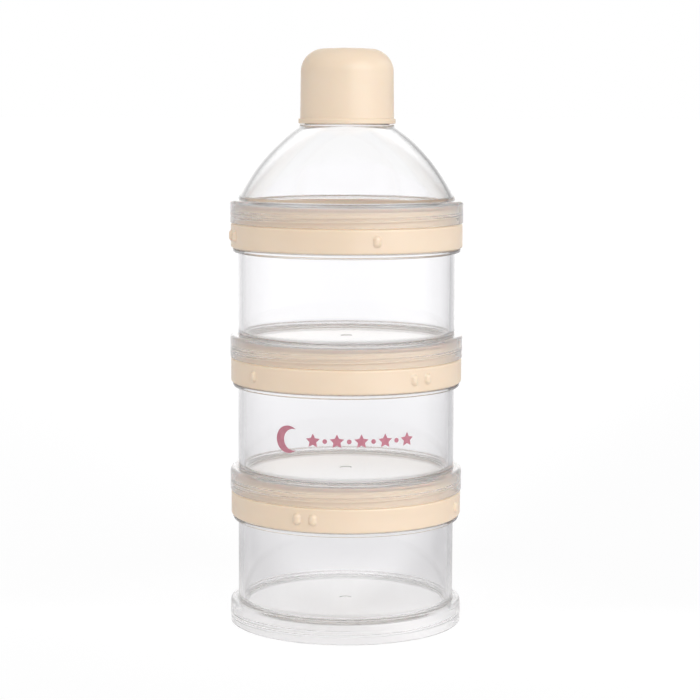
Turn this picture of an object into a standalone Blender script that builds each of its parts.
"""Formula dispenser: three clear powder cups screwed one on another, under a clear funnel lid.

Each cup has a threaded skirt round its foot and carries a cream threaded collar round its neck, so
that a cup, or the lid, screws down onto the collar below it against a flat seal. A push-on cap
closes the lid's spout. Metres, +Z up; the origin is the centre of the rim that the base rests on.
"""

import math

import bmesh
import bpy
from mathutils import Matrix, Vector

MM = 0.001

# The stack. A tier's own heights count from its closure plane, the lower edge of its skirt.
TIERS = ("bottom", "middle", "top")
PITCH = 46.1 * MM
GAP = 0.3 * MM
SEGMENTS = 36
FILLET_STEPS = 2

# The skirt that screws down over the collar below, the same on every cup and on the lid.
SKIRT_R = 40.0 * MM
SKIRT_INNER_R = 38.5 * MM
SKIRT_H = 7.8 * MM
SKIRT_CORNER_R = 1.2 * MM
SKIRT_FOOT_CHAMFER = 0.4 * MM
CEILING_Z = 6.7 * MM

# The cup. Its floor hangs a little below its skirt's ceiling, like a plug.
CUP_R = 37.25 * MM
CUP_INNER_R = 35.45 * MM
FLOOR_Z = 7.15 * MM
PLUG_R = 35.15 * MM
PLUG_Z = 5.84 * MM
FLOOR_FILLET_R = 2.2 * MM
GATE_R = 2.0 * MM
GATE_DEPTH = 0.3 * MM
NECK_R = 36.35 * MM
FLANGE_R = 39.1 * MM
FLANGE_TOP_Z = -8.76 * MM
FLANGE_BOTTOM_Z = -10.0 * MM
FLANGE_EDGE = 0.4 * MM

# The collar, pressed down round the cup's neck onto its flange.
COLLAR_R = 39.7 * MM
COLLAR_INNER_R = 36.65 * MM
COLLAR_NECK_R = 37.5 * MM
COLLAR_BOTTOM_Z = -8.46 * MM
COLLAR_EDGE_R = 1.0 * MM
RIM_Z = 5.2 * MM

# The grip marks on each collar: one, two, one and two, a quarter turn apart.
MARK_R = 1.3 * MM
MARK_H = 3.8 * MM
MARK_OUT = 1.0 * MM
MARK_Z = -4.2 * MM
MARK_SIDES = 8
DOUBLE_MARK_ANGLE = math.radians(8.2)
SINGLE_MARK_TURN = {"bottom": math.radians(70.1), "middle": math.radians(-51.0), "top": math.radians(14.7)}

# The right-hand thread: its starts are spread evenly round, so its ridges stand half a lead apart.
THREAD_STARTS = 2
THREAD_LEAD = 3.0 * MM
THREAD_SPAN = math.radians(330)
THREAD_ROOT_W = 0.9 * MM
THREAD_CREST_W = 0.35 * MM
THREAD_SINK = 0.35 * MM
THREAD_FADE_STEPS = 3
NECK_THREAD_CREST_R = 38.2 * MM
NECK_THREAD_START_Z = 1.2 * MM
SKIRT_THREAD_CREST_R = 37.8 * MM
SKIRT_THREAD_START = math.radians(150)
SKIRT_THREAD_BELOW = 0.75 * MM

# The flat seal under each cup's floor, or under the lid's shoulder.
SEAL_R = 38.15 * MM
SEAL_INNER_R = 35.8 * MM
SEAL_H = 0.9 * MM

# The funnel lid: its outline bulges in an arc from the skirt's shoulder up to the spout.
DOME_BASE_R = 37.3 * MM
DOME_TOP_R = 16.1 * MM
DOME_H = 25.5 * MM
DOME_ARC_R = 58.5 * MM
DOME_STEPS = 8
LID_WALL = 1.6 * MM
SPOUT_R = 14.4 * MM
SPOUT_TIP_R = 12.6 * MM
SPOUT_WALL = 1.3 * MM
SPOUT_H = 18.9 * MM

# The cap.
CAP_R = 15.8 * MM
CAP_FOOT_R = 16.0 * MM
CAP_LIP_R = 16.6 * MM
CAP_LIP_H = 1.7 * MM
CAP_H = 25.7 * MM
CAP_CORNER_R = 8.0 * MM
CAP_CORNER_STEPS = 5
CAP_WALL = 1.3 * MM

CLEAR = {"color": (0.93, 0.94, 0.95, 1.0), "roughness": 0.08, "transmission": 1.0}
CREAM = {"color": (0.86, 0.70, 0.53, 1.0), "roughness": 0.35, "transmission": 0.0}
SILICONE = {"color": (0.90, 0.88, 0.84, 1.0), "roughness": 0.55, "transmission": 0.3}


def clear_objects():
    """Empties the scene of whatever it opened with."""
    for obj in list(bpy.data.objects):
        bpy.data.objects.remove(obj)


def new_collection(name):
    """Makes a collection in the scene."""
    collection = bpy.data.collections.new(name)
    bpy.context.scene.collection.children.link(collection)
    return collection


def plastic(name, look):
    """Makes a Principled material from a look."""
    material = bpy.data.materials.new(name)
    material.use_nodes = True
    shader = material.node_tree.nodes["Principled BSDF"]
    shader.inputs["Base Color"].default_value = look["color"]
    shader.inputs["Roughness"].default_value = look["roughness"]
    shader.inputs["Metallic"].default_value = 0.0
    shader.inputs["Transmission Weight"].default_value = look["transmission"]
    return material


def arc(centre, radius, start, end, steps):
    """Points on an arc in the (r, z) plane, from one angle to another, both ends included."""
    angles = [start + (end - start) * i / steps for i in range(steps + 1)]
    return [(centre[0] + radius * math.cos(a), centre[1] + radius * math.sin(a)) for a in angles]


def quarter(centre, radius, start_degrees, end_degrees, steps=FILLET_STEPS):
    """A fillet's points, with its angles in degrees."""
    return arc(centre, radius, math.radians(start_degrees), math.radians(end_degrees), steps)


def turned(name, outline, z, closed, collection, look):
    """Turns an outline of (r, z) points, which runs down its outer side, round the Z axis."""
    count = len(outline)
    edges = [(i, i + 1) for i in range(count - 1)]
    if closed:
        edges.append((count - 1, 0))
    mesh = bpy.data.meshes.new(name)
    mesh.from_pydata([(r, 0.0, height) for r, height in outline], edges, [])
    obj = bpy.data.objects.new(name, mesh)
    obj.location.z = z
    collection.objects.link(obj)
    screw = obj.modifiers.new("Turn", "SCREW")
    screw.steps = SEGMENTS
    screw.render_steps = SEGMENTS
    screw.use_merge_vertices = True
    screw.merge_threshold = 0.00001
    screw.use_smooth_shade = True
    obj.data.materials.append(plastic(name, look))
    return obj


def as_tool(obj, tools):
    """Marks an object as a tool for a Boolean, which isn't a piece."""
    obj.hide_render = True
    obj.display_type = "WIRE"
    tools.objects.link(obj)
    return obj


def join(obj, tool):
    """Joins a tool's shape onto a piece."""
    union = obj.modifiers.new("Join " + tool.name, "BOOLEAN")
    union.operation = "UNION"
    union.solver = "EXACT"
    union.object = tool


def thread_section(root_r, crest_r, height, turn, z):
    """The four corners of a thread ridge's section, cut down to a share of its full height."""
    tip_r = root_r + (crest_r - root_r) * height
    half_root = THREAD_ROOT_W / 2
    half_tip = half_root + (THREAD_CREST_W / 2 - half_root) * height
    corners = ((root_r, -half_root), (tip_r, -half_tip), (tip_r, half_tip), (root_r, half_root))
    return [Vector((r * math.cos(turn), r * math.sin(turn), z + dz)) for r, dz in corners]


def add_ridge(bm, root_r, crest_r, start, start_z):
    """Adds one helical ridge that fades in and out at its ends, sunk a little into its wall."""
    sunk_r = root_r + math.copysign(THREAD_SINK, root_r - crest_r)
    step = 2 * math.pi / SEGMENTS
    count = round(THREAD_SPAN / step)
    rings = []
    for i in range(count + 1):
        fade = min(1.0, (min(i, count - i) + 1) / (THREAD_FADE_STEPS + 1))
        share = (THREAD_SINK + abs(crest_r - root_r) * fade) / abs(crest_r - sunk_r)
        centre_z = start_z + THREAD_LEAD * i * step / (2 * math.pi)
        section = thread_section(sunk_r, crest_r, share, start + i * step, centre_z)
        rings.append([bm.verts.new(point) for point in section])
    for ring, following in zip(rings, rings[1:]):
        for j in range(4):
            bm.faces.new((ring[j], ring[(j + 1) % 4], following[(j + 1) % 4], following[j]))
    bm.faces.new(rings[0])
    bm.faces.new(rings[-1])


def thread(name, root_r, crest_r, start, start_z, z, tools):
    """The thread on one wall, with a ridge for each of its starts."""
    bm = bmesh.new()
    for i in range(THREAD_STARTS):
        add_ridge(bm, root_r, crest_r, start + 2 * math.pi * i / THREAD_STARTS, start_z)
    bmesh.ops.triangulate(bm, faces=bm.faces[:])
    bmesh.ops.recalc_face_normals(bm, faces=bm.faces[:])
    mesh = bpy.data.meshes.new(name)
    bm.to_mesh(mesh)
    bm.free()
    obj = bpy.data.objects.new(name, mesh)
    obj.location.z = z
    return as_tool(obj, tools)


def neck_thread(name, z, tools):
    """The thread round a collar's neck."""
    return thread(name, COLLAR_NECK_R, NECK_THREAD_CREST_R, 0.0, NECK_THREAD_START_Z, z, tools)


def skirt_thread(name, z, tools):
    """The thread inside a skirt, whose ridges run between the collar's."""
    rise = THREAD_LEAD * SKIRT_THREAD_START / (2 * math.pi)
    start_z = NECK_THREAD_START_Z - SKIRT_THREAD_BELOW + rise
    return thread(name, SKIRT_INNER_R, SKIRT_THREAD_CREST_R, SKIRT_THREAD_START, start_z, z, tools)


def skirt_outline(foot_r):
    """The skirt from its shoulder at the wall's foot, down its outside and up to its ceiling."""
    corner = (SKIRT_R - SKIRT_CORNER_R, SKIRT_H - SKIRT_CORNER_R)
    return [
        (foot_r, SKIRT_H),
        *quarter(corner, SKIRT_CORNER_R, 90, 0),
        (SKIRT_R, SKIRT_FOOT_CHAMFER),
        (SKIRT_R - SKIRT_FOOT_CHAMFER, 0.0),
        (SKIRT_INNER_R, 0.0),
        (SKIRT_INNER_R, CEILING_Z),
    ]


def cup_outline():
    """A cup from the middle of its floor, up inside, over its rim, and down outside to its skirt."""
    fillet = (CUP_INNER_R - FLOOR_FILLET_R, FLOOR_Z + FLOOR_FILLET_R)
    inside = [
        (0.0, FLOOR_Z - GATE_DEPTH),
        (GATE_R, FLOOR_Z - GATE_DEPTH),
        (GATE_R, FLOOR_Z),
        *quarter(fillet, FLOOR_FILLET_R, -90, 0),
    ]
    rim = [(CUP_INNER_R, PITCH + RIM_Z), (NECK_R, PITCH + RIM_Z), (NECK_R, PITCH + FLANGE_TOP_Z)]
    flange = [
        (FLANGE_R, PITCH + FLANGE_TOP_Z),
        (FLANGE_R, PITCH + FLANGE_BOTTOM_Z + FLANGE_EDGE),
        (FLANGE_R - FLANGE_EDGE, PITCH + FLANGE_BOTTOM_Z),
        (CUP_R, PITCH + FLANGE_BOTTOM_Z),
    ]
    plug = [(PLUG_R, CEILING_Z), (PLUG_R, PLUG_Z), (0.0, PLUG_Z)]
    return inside + rim + flange + skirt_outline(CUP_R) + plug


def make_cup(tier, z, parts, tools):
    """A clear cup with the flange that its collar sits on and a threaded skirt round its foot."""
    name = "cup_" + tier
    cup = turned(name, cup_outline(), z, False, parts, CLEAR)
    join(cup, skirt_thread(name + "_thread", z, tools))
    return cup


def collar_outline():
    """A collar's section: a threaded neck standing on a wider band with rounded edges."""
    top = (COLLAR_R - COLLAR_EDGE_R, -GAP - COLLAR_EDGE_R)
    bottom = (COLLAR_R - COLLAR_EDGE_R, COLLAR_BOTTOM_Z + COLLAR_EDGE_R)
    return [
        (COLLAR_INNER_R, RIM_Z),
        (COLLAR_NECK_R, RIM_Z),
        (COLLAR_NECK_R, -GAP),
        *quarter(top, COLLAR_EDGE_R, 90, 0),
        *quarter(bottom, COLLAR_EDGE_R, 0, -90),
        (COLLAR_INNER_R, COLLAR_BOTTOM_Z),
    ]


def mark_angles(single_turn):
    """Where the grip marks stand, as turns from the front towards the right."""
    angles = []
    for opposite in (0.0, math.pi):
        angles.append(single_turn + opposite)
        double = single_turn + math.pi / 2 + opposite
        angles += [double - DOUBLE_MARK_ANGLE / 2, double + DOUBLE_MARK_ANGLE / 2]
    return angles


def grip_marks(name, single_turn, z, tools):
    """The upright half-round marks, joined to a collar as one tool."""
    out_r = COLLAR_R + MARK_OUT - MARK_R
    bm = bmesh.new()
    for angle in mark_angles(single_turn):
        at = Vector((out_r * math.sin(angle), -out_r * math.cos(angle), MARK_Z))
        place = Matrix.Translation(at) @ Matrix.Rotation(angle, 4, "Z")
        size = {"radius1": MARK_R, "radius2": MARK_R, "depth": MARK_H}
        bmesh.ops.create_cone(bm, cap_ends=True, segments=MARK_SIDES, matrix=place, **size)
    mesh = bpy.data.meshes.new(name)
    bm.to_mesh(mesh)
    bm.free()
    obj = bpy.data.objects.new(name, mesh)
    obj.location.z = z
    return as_tool(obj, tools)


def make_collar(tier, z, parts, tools):
    """A cream collar round a cup's neck, with its outside thread and its grip marks."""
    name = "collar_" + tier
    collar = turned(name, collar_outline(), z, True, parts, CREAM)
    join(collar, neck_thread(name + "_thread", z, tools))
    join(collar, grip_marks(name + "_marks", SINGLE_MARK_TURN[tier], z, tools))
    return collar


def make_seal(tier, z, parts):
    """The flat ring that the piece above presses onto this tier's rim."""
    low = CEILING_Z - GAP - SEAL_H
    high = CEILING_Z - GAP
    outline = [(SEAL_INNER_R, high), (SEAL_R, high), (SEAL_R, low), (SEAL_INNER_R, low)]
    return turned("seal_" + tier, outline, z, True, parts, SILICONE)


def dome_centre():
    """The centre of the dome's arc, worked out from the arc's two ends and its radius."""
    base = Vector((DOME_BASE_R, SKIRT_H))
    top = Vector((DOME_TOP_R, SKIRT_H + DOME_H))
    chord = top - base
    away = math.sqrt(DOME_ARC_R**2 - (chord.length / 2) ** 2)
    inward = Vector((-chord.y, chord.x)).normalized()
    return (base + top) / 2 + inward * away


def dome_arc(radius, low_z, high_z):
    """The dome's arc at a radius, from its upper end down to its lower end."""
    centre = dome_centre()
    upper = math.asin((high_z - centre.y) / radius)
    lower = math.asin((low_z - centre.y) / radius)
    return arc(centre, radius, upper, lower, DOME_STEPS)


def lid_outline():
    """The lid's section: up inside the dome and spout, down outside, and round the skirt."""
    shoulder_z = SKIRT_H + DOME_H
    tip_z = shoulder_z + SPOUT_H
    inner_dome = dome_arc(DOME_ARC_R - LID_WALL, SKIRT_H, shoulder_z)
    inner_foot_r = inner_dome[-1][0]
    outer_dome = dome_arc(DOME_ARC_R, SKIRT_H, shoulder_z)
    inside = [(inner_foot_r, CEILING_Z), *reversed(inner_dome)]
    spout = [(SPOUT_TIP_R - SPOUT_WALL, tip_z), (SPOUT_TIP_R, tip_z), (SPOUT_R, shoulder_z)]
    return inside + spout + outer_dome[:-1] + skirt_outline(DOME_BASE_R)


def make_lid(z, parts, tools):
    """The clear funnel lid, with the spout that powder pours from."""
    lid = turned("funnel_lid", lid_outline(), z, True, parts, CLEAR)
    join(lid, skirt_thread("funnel_lid_thread", z, tools))
    return lid


def cap_shell(top_r, top_z, corner_r, foot_r):
    """A domed cap surface from the axis down to its foot, at the cap's own height zero."""
    corner = (top_r - corner_r, top_z - corner_r)
    return [(0.0, top_z), *quarter(corner, corner_r, 90, 0, CAP_CORNER_STEPS), (foot_r, 0.0)]


def cap_outline():
    """The cap's section, down its outside to the lip and back up its inside."""
    outer = cap_shell(CAP_R, CAP_H, CAP_CORNER_R, CAP_FOOT_R)
    inner = cap_shell(CAP_R - CAP_WALL, CAP_H - CAP_WALL, CAP_CORNER_R - CAP_WALL, CAP_FOOT_R - CAP_WALL)
    lip = [(CAP_FOOT_R, CAP_LIP_H), (CAP_LIP_R, CAP_LIP_H), (CAP_LIP_R, 0.0)]
    return outer[:-1] + lip + list(reversed(inner))


def make_cap(z, parts):
    """The push-on cap over the spout."""
    return turned("spout_cap", cap_outline(), z, False, parts, CREAM)


def main():
    clear_objects()
    parts = new_collection("formula_dispenser")
    tools = new_collection("tools")
    for index, tier in enumerate(TIERS):
        closure_z = (index + 1) * PITCH
        make_cup(tier, index * PITCH, parts, tools)
        make_collar(tier, closure_z, parts, tools)
        make_seal(tier, closure_z, parts)
    lid_z = len(TIERS) * PITCH
    make_lid(lid_z, parts, tools)
    make_cap(lid_z + SKIRT_H + DOME_H + GAP, parts)


main()
